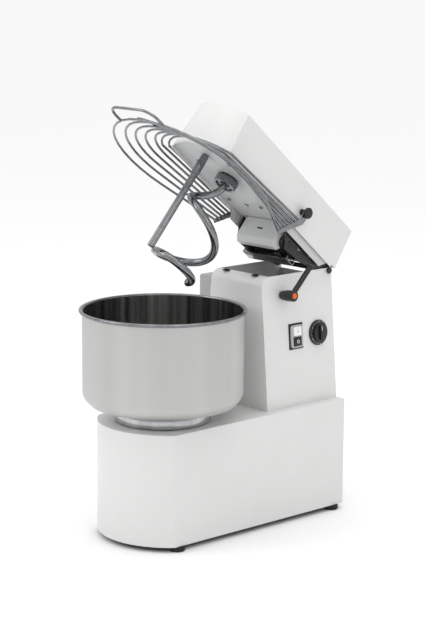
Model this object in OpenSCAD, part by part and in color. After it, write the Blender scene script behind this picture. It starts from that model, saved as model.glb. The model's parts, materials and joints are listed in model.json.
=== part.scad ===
// Spiral dough mixer with a tilting head, drawn with the head raised.
// Frame: front is -Y, the operator's side is +X, the floor is Z = 0.
// Head parts are drawn with the head level and turned up about the hinge pin by raised().

/* [Base] */
// Width of the base box
base_w = 326; // [300:1:350]
// Y of the front side corners of the base
base_y0 = -307; // [-315:1:-300]
// Y of the back of the base
base_y1 = 360; // [358:1:366]
// How far the bowed front stands out past its corners
base_bow = 80; // [60:1:90]
// Lower edge of the base panels
base_z0 = 15; // [14:1:20]
// Top of the base
base_z1 = 333; // [330:1:336]
// Thickness of the base and column sheet
sheet = 2.5; // [2:0.5:3]
// Radius of a rubber foot
foot_r = 22; // [18:1:24]

/* [Column] */
// Half width of the column where it stands on the base
col_h0 = 135; // [132:1:138]
// Half width of the column at its top
col_h1 = 103; // [102:1:105]
// Y of the column front
col_y0 = 71; // [69:1:73]
// Top of the column
col_z1 = 717; // [715:1:718]
// Radius of the rolled top front edge
col_roll = 28; // [20:1:30]
// Y of the hinge pin
piv_y = 343; // [342:0.5:344]
// Height of the hinge pin
piv_z = 709; // [708:0.5:710]
// Radius of the hinge pin
pin_r = 7; // [6:0.5:8]

/* [Bowl] */
// Y of the bowl axis
bowl_y = -208; // [-212:1:-204]
// Outer radius of the bowl wall
bowl_r = 226; // [224:1:228]
// Top of the rolled rim
rim_z = 651; // [648:1:653]
// Underside of the bowl floor
bowl_z0 = 361; // [360:0.5:362]
// Thickness of the bowl sheet
bowl_t = 2; // [1.5:0.5:2.5]
// Radius of the rolled rim wire
rim_r = 5; // [4:0.5:5]

/* [Head] */
// Angle of the raised head
head_open = 41; // [38:0.5:41]
// Half width of the head at its lower edge
head_h0 = 119; // [118:1:120]
// Half width of the head at its top
head_h1 = 101; // [98:1:106]
// Y of the head's front side corners
head_y0 = -214; // [-218:1:-210]
// Y of the back of the head
head_y1 = 348; // [347:0.5:349]
// How far the bowed front of the head stands out
head_bow = 46; // [40:1:50]
// Lower edge of the head's sides
head_z0 = 714; // [712:1:716]
// Top of the head
head_z1 = 853; // [845:1:856]
// Level of the plate that closes the head from below
plate_z = 723; // [722:0.5:725]

/* [Tools] */
// Y of the hook shaft
hook_y = -75; // [-76:1:-74]
// Radius of the spiral, to the middle of the bar
hook_r = 72; // [70:1:73]
// Radius of the hook's bar
hook_bar = 11; // [9:0.5:11]
// Height of the hook's tip with the head level
hook_tip = 396; // [395:1:402]
// Y of the breaker bar
breaker_y = -184; // [-188:1:-183]
// Radius of the breaker bar
breaker_r = 10; // [8:0.5:10]
// Lower end of the breaker bar
breaker_z = 410; // [406:1:430]

/* [Guard] */
// Radius of a guard wire
wire_r = 3.5; // [3:0.5:4]
// Distance of the guard's legs from the middle
leg_x = 128; // [127:1:129]
// Y of the guard's pivot
guard_y = 130; // [128:1:132]
// Height of the guard's pivot
guard_z = 767; // [765:1:769]

/* [Controls] */
// Y and height of the clamp lever
lever_at = [146, 660];
// Length of the clamp lever
lever_len = 119; // [100:1:120]
// Y and height of the switch
switch_at = [197, 535];
// Y and height of the timer
timer_at = [288, 534];
// Radius of the timer's scale
timer_r = 37; // [30:1:38]

/* [Hidden] */
$fn = 64;
eps = 0.01;
white = [0.93, 0.93, 0.92];
steel = [0.75, 0.76, 0.77];
black = [0.09, 0.09, 0.10];

col_y1 = piv_y + 11;             // the back of the column is rounded about the hinge pin
taper = atan((col_h0 - col_h1) / (col_z1 - base_z1));
fit = 0.05;                      // radial running clearance of pins and shafts
gap = 0.5;                       // clearance between parts that only pass each other
shaft_r = 15;
hook_shaft_r = 14;
table_z0 = base_z1 + 3;          // underside of the turntable ring
chain_w = 12;
chain_t = 6;
bowl_chain_z = 190;              // middle of the lower chain
bowl_pinion_y = 60;
breaker_x = -5;
hook_chain_z = 790;              // middle of the chain in the head
hook_pinion_y = 92;
cover_x = 75;                    // half width of the cover under the motor
cover_y = 122;
cover_z = 659;
bracket_x = 94;                  // inner face of a bracket plate
bracket_t = 5;
box_x = 200;                     // outer face of the electrical box
box_y = 112;
box_w = 118;
latch_y = 160;
latch_z = 676;
btn_dz = 15;                     // half the distance between the buttons
wires = 7;
wire_rr = [242, 210, 178, 153, 135, 150, 158];   // radius of each wire's bend, outermost first
front_y = [-450, -420, -393, -366, -338, -310, -282];
front_z = [645, 659, 665, 675, 687, 701, 715];
strap_a = [74, 664];             // lower end of the side strap
strap_b = [129, 735];            // upper end of the side strap
handle_x = 88;                   // half width of the guard's handle
handle_out = 48;
handle_bend = 40;

// ---- helpers ----
function bow_radius(h, b) = (h * h + b * b) / (2 * b);
function col_half(z) = col_h0 - (col_h0 - col_h1) * (z - base_z1) / (col_z1 - base_z1);
function head_half(z) = head_h0 - (head_h0 - head_h1) * (z - head_z0) / (head_z1 - head_z0);

// Turns the level head up about the hinge pin.
module raised() translate([0, piv_y, piv_z]) rotate([-head_open, 0, 0])
    translate([0, -piv_y, -piv_z]) children();

// Plan outline of a box with a bowed front.
module bowed_plan(h, y0, y1, b, n = 180) {
    r = bow_radius(h, b);
    translate([-h, y0]) square([2 * h, y1 - y0]);
    intersection() {
        translate([0, y0 - b + r]) circle(r, $fn = n);
        translate([-h, y0 - b - 1]) square([2 * h, b + 1 + eps]);
    }
}

// Extrudes a Y-Z outline across the machine, from x0 for a width w.
module across(x0, w) translate([x0, 0, 0]) rotate([90, 0, 90]) linear_extrude(w) children();

// Places children on the column's right side, local +Z along the panel's outward normal.
module on_side(at, out = 0) translate([col_half(at[1]), at[0], at[1]]) rotate([0, 90 - taper, 0])
    translate([0, 0, out]) children();

// Ring of height h between radii a and b.
module ring(a, b, h) difference() {
    cylinder(r = b, h = h);
    translate([0, 0, -1]) cylinder(r = a, h = h + 2);
}

// Toothed wheel with a bore.
module sprocket(r, teeth, h, bore) {
    step = 360 / teeth;
    difference() {
        linear_extrude(h) polygon([for (i = [0 : teeth - 1], k = [[0, -4], [0.3, -4], [0.45, 0], [0.85, 0]])
            (r + k[1]) * [cos((i + k[0]) * step), sin((i + k[0]) * step)]]);
        translate([0, 0, -1]) cylinder(r = bore, h = h + 2);
    }
}

// Outline around two wheels of radius ra at the origin and rb at distance d along +Y.
module loop_outline(ra, rb, d) {
    a = asin((ra - rb) / d);
    circle(ra);
    translate([0, d]) circle(rb);
    polygon([ra * [cos(a), sin(a)], [0, d] + rb * [cos(a), sin(a)],
             [0, d] + rb * [-cos(a), sin(a)], ra * [-cos(a), sin(a)]]);
}

// Chain as a band around two wheels.
module chain(ra, rb, d) linear_extrude(chain_w) difference() {
    loop_outline(ra + chain_t, rb + chain_t, d);
    loop_outline(ra + gap, rb + gap, d);
}

// Ball bearing: outer ring, inner ring and balls.
module ball_bearing(a, b, h) {
    mid = (a + b) / 2;
    w = (b - a) * 0.24;
    ring(b - w, b, h);
    ring(a, a + w, h);
    for (i = [0 : 9]) rotate([0, 0, 36 * i]) translate([mid, 0, h / 2]) sphere((b - a) / 2 - w - 0.1);
}

// Screw with a domed head, its head standing up from the origin.
module screw(r, h) {
    translate([0, 0, -8]) cylinder(r = r * 0.5, h = 8 + eps);
    intersection() {
        cylinder(r = r, h = h);
        translate([0, 0, h - r * 1.6]) sphere(r * 1.6);
    }
}

function unit(v) = v / norm(v);
function tangent(p, i) = unit(p[min(i + 1, len(p) - 1)] - p[max(i - 1, 0)]);
// Frame carried along the path, so that the sections don't twist.
function carry(n, t) = unit(n - (n * t) * t);
function frames(p, i = 0, n = [0, 0, 1]) = i == len(p) ? []
    : let (m = carry(n, tangent(p, i))) concat([m], frames(p, i + 1, m));

module swept(p, r, sides) {
    f = frames(p);
    pts = [for (i = [0 : len(p) - 1], k = [0 : sides - 1])
        let (n = f[i], b = cross(tangent(p, i), n), w = 360 * k / sides) p[i] + r * (cos(w) * n + sin(w) * b)];
    last = (len(p) - 1) * sides;
    polyhedron(pts, concat([[for (k = [0 : sides - 1]) k]],
        [for (i = [0 : len(p) - 2], k = [0 : sides - 1])
            let (a = i * sides + k, b = i * sides + (k + 1) % sides) [b, a, a + sides, b + sides]],
        [[for (k = [sides - 1 : -1 : 0]) last + k]]));
}

// ---- base ----
module base_cover() color(white) difference() {
    translate([0, 0, base_z0]) linear_extrude(base_z1 - base_z0)
        bowed_plan(base_w / 2, base_y0, base_y1, base_bow);
    translate([0, 0, base_z0 - 1]) linear_extrude(base_z1 - base_z0 + 1 - sheet)
        bowed_plan(base_w / 2 - sheet, base_y0 + sheet, base_y1 - sheet, base_bow - sheet);
    translate([0, bowl_y, base_z1 - 10]) cylinder(r = 62, h = 20);
    translate([-95, col_y0 + 30, base_z1 - 10]) cube([190, col_y1 - col_y0 - 60, 20]);
    translate([-90, base_y1 + 5, 75]) rotate([90, 0, 0]) cylinder(r = 10.2, h = 20);
}

foot_x = base_w / 2 - 16;
foot_at = [for (x = [-1, 1], y = [base_y0 + 23, base_y1 - 35]) [x * foot_x, y]];

module base_plate() color(black) difference() {
    translate([0, 0, 7]) linear_extrude(7.5)
        bowed_plan(base_w / 2 - 10, base_y0 + 6, base_y1 - 12, base_bow - 6);
    for (p = foot_at) translate([p[0], p[1], 0]) cylinder(r = foot_r + 0.3, h = 30);
}

module rubber_feet() color(black) for (p = foot_at) translate([p[0], p[1], 0]) {
    cylinder(r1 = foot_r - 2, r2 = foot_r, h = 3);
    translate([0, 0, 3]) cylinder(r = foot_r, h = base_z0 - 3.5);
}

// ---- column ----
module column_side(i) difference() {
    translate([col_y0 + i, base_z1 - (i > 0 ? 5 : 0)])
        square([col_y1 - col_y0 - i + (i > 0 ? 20 : 0), col_z1 - base_z1 - i + (i > 0 ? 5 : 0)]);
    translate([col_y0 + i, col_z1 - col_roll]) difference() {
        translate([-1, 0]) square([col_roll - i + 1, col_roll + 1]);
        translate([col_roll - i, 0]) circle(col_roll - i);
    }
    if (i == 0) translate([piv_y, piv_z]) difference() {
        square(30);
        circle(col_y1 - piv_y);
    }
}

module column_section(i) translate([0, col_y1 + 30, 0]) rotate([90, 0, 0]) linear_extrude(col_y1 - col_y0 + 60)
    polygon([[-col_h0 + i, base_z1], [-col_h1 + i, col_z1], [col_h1 - i, col_z1], [col_h0 - i, base_z1],
             [col_h0 - i, base_z1 - (i > 0 ? 5 : 0)], [-col_h0 + i, base_z1 - (i > 0 ? 5 : 0)]]);

module column_shell() color(white) difference() {
    intersection() {
        column_section(0);
        across(-150, 300) column_side(0);
    }
    intersection() {
        column_section(sheet);
        across(-150, 300) column_side(sheet);
    }
    translate([-col_h1 + sheet, col_y0 + col_roll + 5, col_z1 - 30]) cube([2 * (col_h1 - sheet), 300, 60]);
    translate([-200, piv_y, piv_z]) rotate([0, 90, 0]) cylinder(r = pin_r + fit, h = 400);
    on_side(lever_at, -20) cylinder(r = 6 + fit, h = 40);
    on_side(switch_at, -20) translate([-29.5, -16, 0]) cube([59, 32, 40]);
    on_side(timer_at, -20) cylinder(r = 6, h = 40);
}

screw_at = [for (z = [345, 500, 670], x = [-1, 1]) [x * (col_half(z) - 16), z]];

module back_panel() color(white) difference() {
    intersection() {
        translate([-150, col_y1 - 3, base_z1 + 0.5]) cube([300, sheet, 690 - base_z1]);
        column_section(sheet + 0.4);
    }
    for (z = [400 : 22 : 620], x = [-1, 1]) translate([x * 38 - 24, col_y1 - 10, z]) cube([48, 20, 6]);
    for (p = screw_at) translate([p[0], col_y1 - 10, p[1]]) rotate([-90, 0, 0]) cylinder(r = 2.7, h = 20);
}

// Plate that closes the column under the head's mechanism.
module inner_tray() color([0.8, 0.8, 0.8]) intersection() {
    translate([-150, col_y0 + sheet + 0.3, 590]) cube([300, col_y1 - col_y0 - sheet - 4, 2.5]);
    column_section(sheet + 0.3);
}

// Box section on the column's left side, set in by the sheet i.
module box_section(i) {
    low = 520 + i;
    high = 686 - i;
    polygon([[i - box_x, low], [i - box_x, high - 6], [i + 6 - box_x, high],
             [-col_half(high) - gap - i, high], [-col_half(low) - gap - i, low]]);
}

module electrical_box() color([0.78, 0.78, 0.78]) translate([0, box_y, 0]) rotate([90, 0, 0]) difference() {
    translate([0, 0, -box_w]) linear_extrude(box_w) box_section(0);
    translate([0, 0, sheet - box_w]) linear_extrude(box_w - 2 * sheet) box_section(sheet);
}

module contactor() color([0.2, 0.22, 0.24]) {
    translate([-170, 140, 560]) cube([45, 60, 74]);
    translate([-165, 148, 634 - eps]) cube([35, 44, 10]);
}

module cable_gland() color(black) translate([-90, base_y1 + 1, 75]) rotate([90, 0, 0]) difference() {
    union() {
        translate([0, 0, 1]) cylinder(r = 10, h = 14);
        translate([0, 0, -9]) cylinder(r = 14, h = 10, $fn = 6);
    }
    translate([0, 0, -10]) cylinder(r = 4.5, h = 40);
}

module cover_screws() color(steel) for (p = screw_at)
    translate([p[0], col_y1 - 0.5, p[1]]) rotate([-90, 0, 0]) screw(5, 2.5);

module hinge_pin() color(steel) {
    translate([-col_h1 - 6, piv_y, piv_z]) rotate([0, 90, 0]) cylinder(r = pin_r, h = 2 * col_h1 + 12);
    for (x = [-1, 1]) translate([x * (col_half(piv_z) + 1.2), piv_y, piv_z])
        rotate([0, 90 * x, 0]) cylinder(r = 9, h = 5);
}

module head_buffers() color(black) for (x = [-1, 1])
    translate([x * 60, col_y0 + 17, col_z1]) intersection() {
        cylinder(r = 11, h = 4.5);
        translate([0, 0, -16]) sphere(20.5);
    }

// ---- lower drive ----
module bowl_motor() color([0.35, 0.37, 0.4]) {
    translate([0, 335, 110]) rotate([90, 0, 0]) cylinder(r = 62, h = 175);
    for (a = [0 : 20 : 340]) translate([0, 320, 110]) rotate([90, a, 0])
        translate([60, -1.5, 0]) cube([7, 3, 140]);
    translate([-40, 190, 170]) cube([80, 80, 36]);
}

module bowl_reducer() color([0.5, 0.52, 0.54]) difference() {
    union() {
        translate([-55, 5, 60]) cube([110, 154.5, 100]);
        translate([0, bowl_pinion_y, 160 - eps]) cylinder(r = 36, h = 12);
        translate([-70, 10, 14.6]) cube([140, 120, 46]);
    }
    translate([0, bowl_pinion_y, 100]) cylinder(r = shaft_r + fit, h = 90);
}

module bowl_drive_sprocket() color(steel) {
    translate([0, bowl_pinion_y, bowl_chain_z - 5]) sprocket(30, 15, 10, shaft_r - 1);
    translate([0, bowl_pinion_y, 110]) cylinder(r = shaft_r, h = bowl_chain_z + 12 - 110);
}

module bowl_chain() color([0.25, 0.25, 0.26]) translate([0, bowl_y, bowl_chain_z - chain_w / 2])
    chain(78, 30, bowl_pinion_y - bowl_y);

module bearing_housing() color([0.45, 0.47, 0.48]) translate([0, bowl_y, 0]) difference() {
    union() {
        translate([0, 0, 212]) cylinder(r = 48, h = base_z1 - sheet - 212 - gap);
        translate([0, 0, base_z1 - sheet - gap - 8]) cylinder(r = 90, h = 8);
    }
    translate([0, 0, 200]) cylinder(r = shaft_r + 1, h = 200);
    translate([0, 0, 200]) cylinder(r = 35, h = 30);
    translate([0, 0, base_z1 - 24]) cylinder(r = 35, h = 30);
}

module turntable_bearings() color(steel) translate([0, bowl_y, 0]) {
    translate([0, 0, 213]) ball_bearing(shaft_r + fit, 34.9, 16);
    translate([0, 0, base_z1 - 23]) ball_bearing(shaft_r + fit, 34.9, 16);
}

module turntable_shaft() color(steel) translate([0, bowl_y, 0]) {
    translate([0, 0, bowl_chain_z - 20]) cylinder(r = shaft_r, h = table_z0 - bowl_chain_z + 22);
}

module turntable_sprocket() color(steel) translate([0, bowl_y, bowl_chain_z - 5])
    sprocket(78, 39, 10, shaft_r + eps);

// Drive dog: a round spigot with a key across it, grown by g for its recess.
module drive_dog(h, g) {
    cylinder(r = 56 + g, h = h);
    translate([-75 - g, -10 - g, 0]) cube([150 + 2 * g, 20 + 2 * g, h]);
}

module turntable_disc() color(steel) translate([0, bowl_y, table_z0]) difference() {
    cylinder(r = 136, h = bowl_z0 - table_z0 - 0.3);
    translate([0, 0, -1]) cylinder(r = shaft_r + eps, h = 4);
    translate([0, 0, bowl_z0 - table_z0 - 12.3]) drive_dog(20, 0.5);
    translate([0, 0, -1]) ring(90, 128, 17);
}

// ---- bowl ----
// Wall section between the outer profile and one set in by the sheet.
module bowl_profile(t) difference() {
    union() {
        square([138, 40]);
        polygon([[0, t], [138, t], [204 - t / 3, 20 + t], [204 - t / 3, 90], [0, 90]]);
        translate([bowl_r - 22, 42]) circle(22 - t);
        translate([0, 42]) square([bowl_r - t, rim_z - rim_r - bowl_z0 - 42 + t]);
    }
    translate([-1, -1]) square([500, t + 1]);
}

module mixing_bowl() color([0.8, 0.8, 0.79]) translate([0, bowl_y, 0]) {
    translate([0, 0, bowl_z0]) rotate_extrude($fn = 180) difference() {
        bowl_profile(0);
        bowl_profile(bowl_t);
        translate([-5, 0]) square([5, 500]);
    }
    translate([0, 0, rim_z - rim_r]) rotate_extrude($fn = 180) translate([bowl_r + rim_r - 0.3, 0]) circle(rim_r);
    translate([0, 0, bowl_z0 - 11]) drive_dog(11 + eps, 0);
}

// ---- controls ----
module switch_bezel() color([0.6, 0.61, 0.62]) {
    on_side(switch_at, 0.2) difference() {
        linear_extrude(7) {
            translate([-33, -15]) square([66, 30]);
            translate([-25, -23]) square([50, 46]);
            for (x = [-25, 25], y = [-15, 15]) translate([x, y]) circle(8);
        }
        for (s = [-1, 1]) translate([s * btn_dz - 13.5, -15.5, -1]) cube([27, 31, 20]);
    }
    on_side(switch_at, -40) difference() {
        translate([-23.5, -14.5, 0]) cube([47, 29, 40.2]);
        for (s = [-1, 1]) translate([s * btn_dz - 8.2, -8.2, 12]) cube([16.4, 16.4, 60]);
        for (s = [-1, 1]) translate([s * btn_dz - 13.5, -15.5, 30]) cube([27, 31, 20]);
    }
}

module push_button(s) {
    on_side(switch_at, 1.5) translate([s * btn_dz - 13, -15, 0]) cube([26, 30, 9]);
    on_side(switch_at, -22) translate([s * btn_dz - 8, -8, 0]) cube([16, 16, 24]);
}

module start_button() color(white) push_button(-1);

module stop_button() color(black) push_button(1);

module timer_scale() color(black) on_side(timer_at, 0.2) difference() {
    cylinder(r = timer_r, h = 4);
    translate([0, 0, -1]) cylinder(r = 7, h = 10);
}

module timer_body() color([0.3, 0.3, 0.32]) on_side(timer_at, -44) difference() {
    translate([-26, -26, 0]) cube([52, 52, 40]);
    translate([0, 0, 20]) cylinder(r = 3 + fit, h = 30);
}

module timer_knob() color(black) on_side(timer_at, 0) {
    translate([0, 0, 4.8]) cylinder(r1 = 25, r2 = 24, h = 7);
    translate([-21, -4.5, 11.8 - eps]) cube([42, 9, 7]);
    translate([0, 0, -20]) cylinder(r = 3, h = 26);
}

module clamp_stud() color(steel) on_side(lever_at, 0) {
    translate([0, 0, -5.7]) cylinder(r = 6, h = 18.7);
    translate([0, 0, 0.2]) cylinder(r = 10, h = 6.4);
    translate([0, 0, -5.7]) cylinder(r = 10, h = 3);
}

hub_z = 7;
hub_h = 46;

module clamp_lever() color(black) on_side(lever_at, hub_z) {
    difference() {
        union() {
            cylinder(r1 = 13, r2 = 16, h = 20);
            translate([0, 0, 20 - eps]) cylinder(r = 16, h = hub_h - 20);
            rotate([0, 0, 133]) translate([0, 0, hub_h - 10]) {
                rotate([0, 90, 0]) cylinder(r = 8, h = lever_len - 12);
                translate([lever_len - 12, 0, 0]) sphere(10);
            }
        }
        translate([0, 0, -1]) cylinder(r = 6 + fit, h = 8);
        translate([0, 0, hub_h - 18]) cylinder(r = 8.5, h = 40);
    }
}

module clamp_button() color([0.85, 0.35, 0.1]) on_side(lever_at, hub_z + hub_h - 14) {
    cylinder(r = 8, h = 17);
    translate([0, 0, 17 - eps]) cylinder(r1 = 8, r2 = 6, h = 2);
}

// ---- head ----
module head_block(i) hull() {
    translate([0, 0, head_z0 - (i > 0 ? 5 : 0)]) linear_extrude(eps)
        bowed_plan(head_h0 - i, head_y0 + i, head_y1 - i, head_bow - i, 96);
    translate([0, 0, head_z1 - i]) linear_extrude(eps)
        bowed_plan(head_h1 - i, head_y0 + i, head_y1 - i, head_bow - i, 96);
}

module head_cover() color(white) raised() difference() {
    head_block(0);
    head_block(2);
    translate([-150, head_y1 - 20, head_z0 - 10]) cube([300, 40, 18]);
    for (x = [-1, 1]) translate([x * 105, guard_y, guard_z]) rotate([0, 90 * x, 0]) cylinder(r = 9.5, h = 30);
}

module head_underplate() color([0.8, 0.8, 0.8]) raised() difference() {
    translate([0, 0, plate_z]) linear_extrude(2.5)
        bowed_plan(head_half(plate_z) - 3.6, head_y0 + 4, head_y1 - 4, head_bow - 4);
    translate([-84, cover_y, plate_z - 5]) cube([168, head_y1 - cover_y - 6, 20]);
    for (x = [-1, 1]) translate([x * (bracket_x + bracket_t / 2) - bracket_t / 2 - 0.3, cover_y, plate_z - 5])
        cube([bracket_t + 0.6, 400, 20]);
    translate([0, hook_y, plate_z - 5]) cylinder(r = 31, h = 20);
    translate([breaker_x, breaker_y, plate_z - 5]) cylinder(r = 8 + fit, h = 20);
}

module bracket_outline() {
    polygon([[cover_y + 4, 770], [cover_y + 10, 690], [157, 654], [230, 660], [piv_y, piv_z - 14], [piv_y, 770]]);
    translate([piv_y - 3, piv_z]) circle(13);
}

module head_bracket() color(black) raised() difference() {
    union() {
        for (x = [-bracket_x - bracket_t, bracket_x]) across(x, bracket_t) intersection() {
            bracket_outline();
            translate([0, 600]) square([piv_y + 3.6, 200]);
        }
        translate([-bracket_x - eps, 190, 812]) cube([2 * bracket_x + 2 * eps, 60, 6]);
        for (x = [-bracket_x - bracket_t, bracket_x]) translate([x, 190, 760]) cube([bracket_t, 60, 58]);
    }
    translate([-200, piv_y, piv_z]) rotate([0, 90, 0]) cylinder(r = pin_r + fit, h = 400);
    for (x = [-1, 1]) translate([x * 90, latch_y, latch_z]) rotate([0, 90 * x, 0]) cylinder(r = 8 + fit, h = 30);
}

module latch_bar() color(steel) raised() {
    translate([-99, latch_y, latch_z]) rotate([0, 90, 0]) cylinder(r = 8, h = 198);
    for (x = [-1, 1]) translate([x * 91.5, latch_y, latch_z]) rotate([0, -90 * x, 0]) cylinder(r = 20, h = 13);
}

// Bent shield in front of the bracket, open at the back.
module mechanism_cover() color([0.82, 0.82, 0.82]) raised() difference() {
    across(-cover_x, 2 * cover_x) polygon([[cover_y, plate_z - 0.5], [cover_y, cover_z],
        [cover_y + 14, cover_z - 15], [cover_y + 30, cover_z - 15], [cover_y + 85, plate_z - 0.5]]);
    across(2 - cover_x, 2 * cover_x - 4) polygon([[cover_y + 2, plate_z + 5], [cover_y + 2, cover_z + 1],
        [cover_y + 15, cover_z - 13], [cover_y + 200, cover_z - 13], [cover_y + 200, plate_z + 5]]);
    translate([-200, latch_y, latch_z]) rotate([0, 90, 0]) cylinder(r = 8.5, h = 400);
}

// Steel channel between the bracket plates, which meets the stop inside the column.
module stop_channel() color(steel) raised() difference() {
    translate([-90, 188, 640]) cube([180, 36, 15]);
    translate([-100, 191, 643]) cube([200, 30, 20]);
}

module channel_knobs() color(black) raised() for (x = [-1, 1])
    translate([x * 60, 187.7, 648]) rotate([90, 0, 0]) {
        cylinder(r = 7, h = 6);
        translate([0, 0, 6 - eps]) cylinder(r = 9.5, h = 14);
    }

module rear_skirts() color([0.8, 0.8, 0.8]) raised() for (x = [-1, 1])
    translate([x > 0 ? 108.5 : -110.5, 0, 0]) rotate([90, 0, 90]) linear_extrude(2)
        polygon([[85, plate_z - 0.5], [100, 692], [295, 692], [320, plate_z - 0.5]]);

module hook_motor() color([0.35, 0.37, 0.4]) raised() {
    translate([0, 292, 752]) rotate([90, 0, 0]) cylinder(r = 54, h = 130);
    for (a = [0 : 20 : 340]) translate([0, 285, 752]) rotate([90, a, 0])
        translate([52, -1.5, 0]) cube([7, 3, 110]);
}

module hook_reducer() color([0.5, 0.52, 0.54]) raised() difference() {
    union() {
        translate([-48, 40, 727]) cube([96, 112, 48]);
        translate([-40, 136, 718]) cube([80, 25.5, 66]);
    }
    translate([0, hook_pinion_y, 740]) cylinder(r = 12 + fit, h = 60);
}

module hook_drive_sprocket() color(steel) raised() translate([0, hook_pinion_y, 0]) {
    translate([0, 0, hook_chain_z - 5]) sprocket(28, 14, 10, 11);
    translate([0, 0, 745]) cylinder(r = 12, h = hook_chain_z + 10 - 745);
}

module hook_chain() color([0.25, 0.25, 0.26]) raised() translate([0, hook_y, hook_chain_z - chain_w / 2])
    chain(50, 28, hook_pinion_y - hook_y);

module hook_housing() color([0.45, 0.47, 0.48]) raised() translate([0, hook_y, 0]) difference() {
    union() {
        translate([0, 0, plate_z + 3]) cylinder(r = 44, h = 48);
        translate([0, 0, plate_z + 3]) cylinder(r = 70, h = 6);
    }
    translate([0, 0, 700]) cylinder(r = hook_shaft_r + 1, h = 100);
    translate([0, 0, 720]) cylinder(r = 32, h = 20);
    translate([0, 0, 760]) cylinder(r = 32, h = 20);
}

module hook_bearings() color(steel) raised() translate([0, hook_y, 0]) {
    translate([0, 0, 726.5]) ball_bearing(hook_shaft_r + fit, 31.9, 13);
    translate([0, 0, 760.5]) ball_bearing(hook_shaft_r + fit, 31.9, 13);
}

module hook_shaft() color(steel) raised() translate([0, hook_y, 704])
    cylinder(r = hook_shaft_r, h = hook_chain_z + 10 - 704);

module hook_sprocket() color(steel) raised() translate([0, hook_y, hook_chain_z - 5])
    sprocket(50, 25, 10, hook_shaft_r + eps);

module tool_chuck() color([0.35, 0.35, 0.36]) raised() translate([0, hook_y, 0]) difference() {
    union() {
        translate([0, 0, 697]) cylinder(r = 34, h = 19);
        translate([0, 0, 715]) cylinder(r = 28, h = 6.5);
    }
    translate([0, 0, 690]) cylinder(r = hook_bar + 0.2, h = 14);
    translate([0, 0, 704 - eps]) cylinder(r = hook_shaft_r + eps, h = 30);
    translate([0, 0, 690]) ring(15, 27, 12);
    rotate([0, 0, 35]) translate([27, -2.5, 690]) cube([30, 5, 26]);
}

// The bar's middle line: a spiral that opens upwards, then swings in under the shaft.
turn_body = 505;
turn_end = 600;
function ease(t) = t * t * (3 - 2 * t);
function late(a) = max(0, (a - turn_body) / (turn_end - turn_body));
function coil_z(a) = hook_tip + 0.05 * a + 0.0007 * a * a + 20 * pow(late(a), 2);
function coil_r(a) = (hook_r - 20 * pow(max(0, 1 - a / 60), 2)) * (1 - ease(late(a)));
coil = [for (a = [0 : 7.5 : turn_end]) [coil_r(a) * cos(50 - a), coil_r(a) * sin(50 - a), coil_z(a)]];
coil_path = concat(coil, [[0, 0, 703.5]]);

module spiral_hook() color(steel) raised() translate([0, hook_y, 0]) swept(coil_path, hook_bar, 16);

module breaker_bar() color(steel) raised() translate([breaker_x, breaker_y, 0]) {
    translate([0, 0, breaker_z]) cylinder(r = breaker_r, h = 660 - breaker_z);
    translate([0, 0, 660 - eps]) cylinder(r = breaker_r + 1.5, h = plate_z - 664);
    translate([0, 0, plate_z - 5]) cylinder(r = 8, h = 26);
}

module breaker_collar() color(steel) raised() translate([breaker_x, breaker_y, plate_z + 3]) difference() {
    cylinder(r = 15, h = 12, $fn = 6);
    translate([0, 0, -1]) cylinder(r = 8 + fit, h = 20);
}

module guard_pivots() color([0.3, 0.3, 0.32]) raised() for (x = [-1, 1])
    translate([0, guard_y, guard_z]) rotate([0, 90 * x, 0]) {
        translate([0, 0, 104]) cylinder(r = 9, h = 23);
        translate([0, 0, 100]) cylinder(r = 15, h = 6);
        translate([0, 0, 127 - eps]) cylinder(r = 6, h = 9);
        translate([0, 0, 135.2]) cylinder(r = 16, h = 6);
    }

module guard_switch() color([0.2, 0.25, 0.3]) raised() translate([68, guard_y - 40, guard_z - 22]) cube([26, 34, 40]);

// ---- guard ----
// Middle line of one wire: two legs from the side straps and a bend round the front.
function wire_back(i) = strap_a + i / (wires - 1) * (strap_b - strap_a);
function wire_run(i) = wire_back(i) - [front_y[i], front_z[i]];
function wire_mid(i) = norm(wire_run(i)) - wire_rr[i];
function wire_start(i) = i < wires - 2
    ? atan2(-wire_mid(i), leg_x) + acos(wire_rr[i] / norm([leg_x, wire_mid(i)]))
    : acos(leg_x / wire_rr[i]);
function wire_bend(i) = [for (k = [0 : 24]) let (a = wire_start(i) + k / 24 * (180 - 2 * wire_start(i)))
    [wire_rr[i] * cos(a), -wire_mid(i) - wire_rr[i] * sin(a), 0]];

module guard_wire(i) translate([0, wire_back(i)[0], wire_back(i)[1]])
    rotate([atan2(wire_run(i)[1], wire_run(i)[0]), 0, 0])
        swept(concat([[leg_x, 0, 0]], wire_bend(i), [[-leg_x, 0, 0]]), wire_r, 12);

module guard_wires() color(steel) raised() for (i = [0 : wires - 1]) guard_wire(i);

// The front strap lies along the tops of the wires, and a side strap joins their ends.
strap_low = [for (i = [0 : wires - 1]) [front_y[i], front_z[i] + wire_r]];
strap_high = [for (i = [wires - 1 : -1 : 0]) strap_low[i] + [0, 3.3]];

module guard_straps() color(steel) raised() {
    across(-7, 14) polygon(concat([strap_low[0] - [3, 1.4]], strap_low,
        [strap_low[wires - 1] + [3, 1.4], strap_low[wires - 1] + [3, 4.7]], strap_high, [strap_low[0] + [-3, 1.9]]));
    for (x = [-1, 1]) translate([x > 0 ? leg_x + wire_r - 0.3 : -leg_x - wire_r - 2.7, 0, 0]) difference() {
        rotate([90, 0, 90]) linear_extrude(3) {
            polygon([strap_a + [-8, -2], strap_a + [2, -8], strap_b + [8, -4], [guard_y + 12, guard_z],
                     [guard_y - 12, guard_z], strap_b + [-10, 4]]);
            translate([guard_y, guard_z]) circle(12);
        }
        translate([-5, guard_y, guard_z]) rotate([0, 90, 0]) cylinder(r = 6 + fit, h = 20);
    }
}

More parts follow.
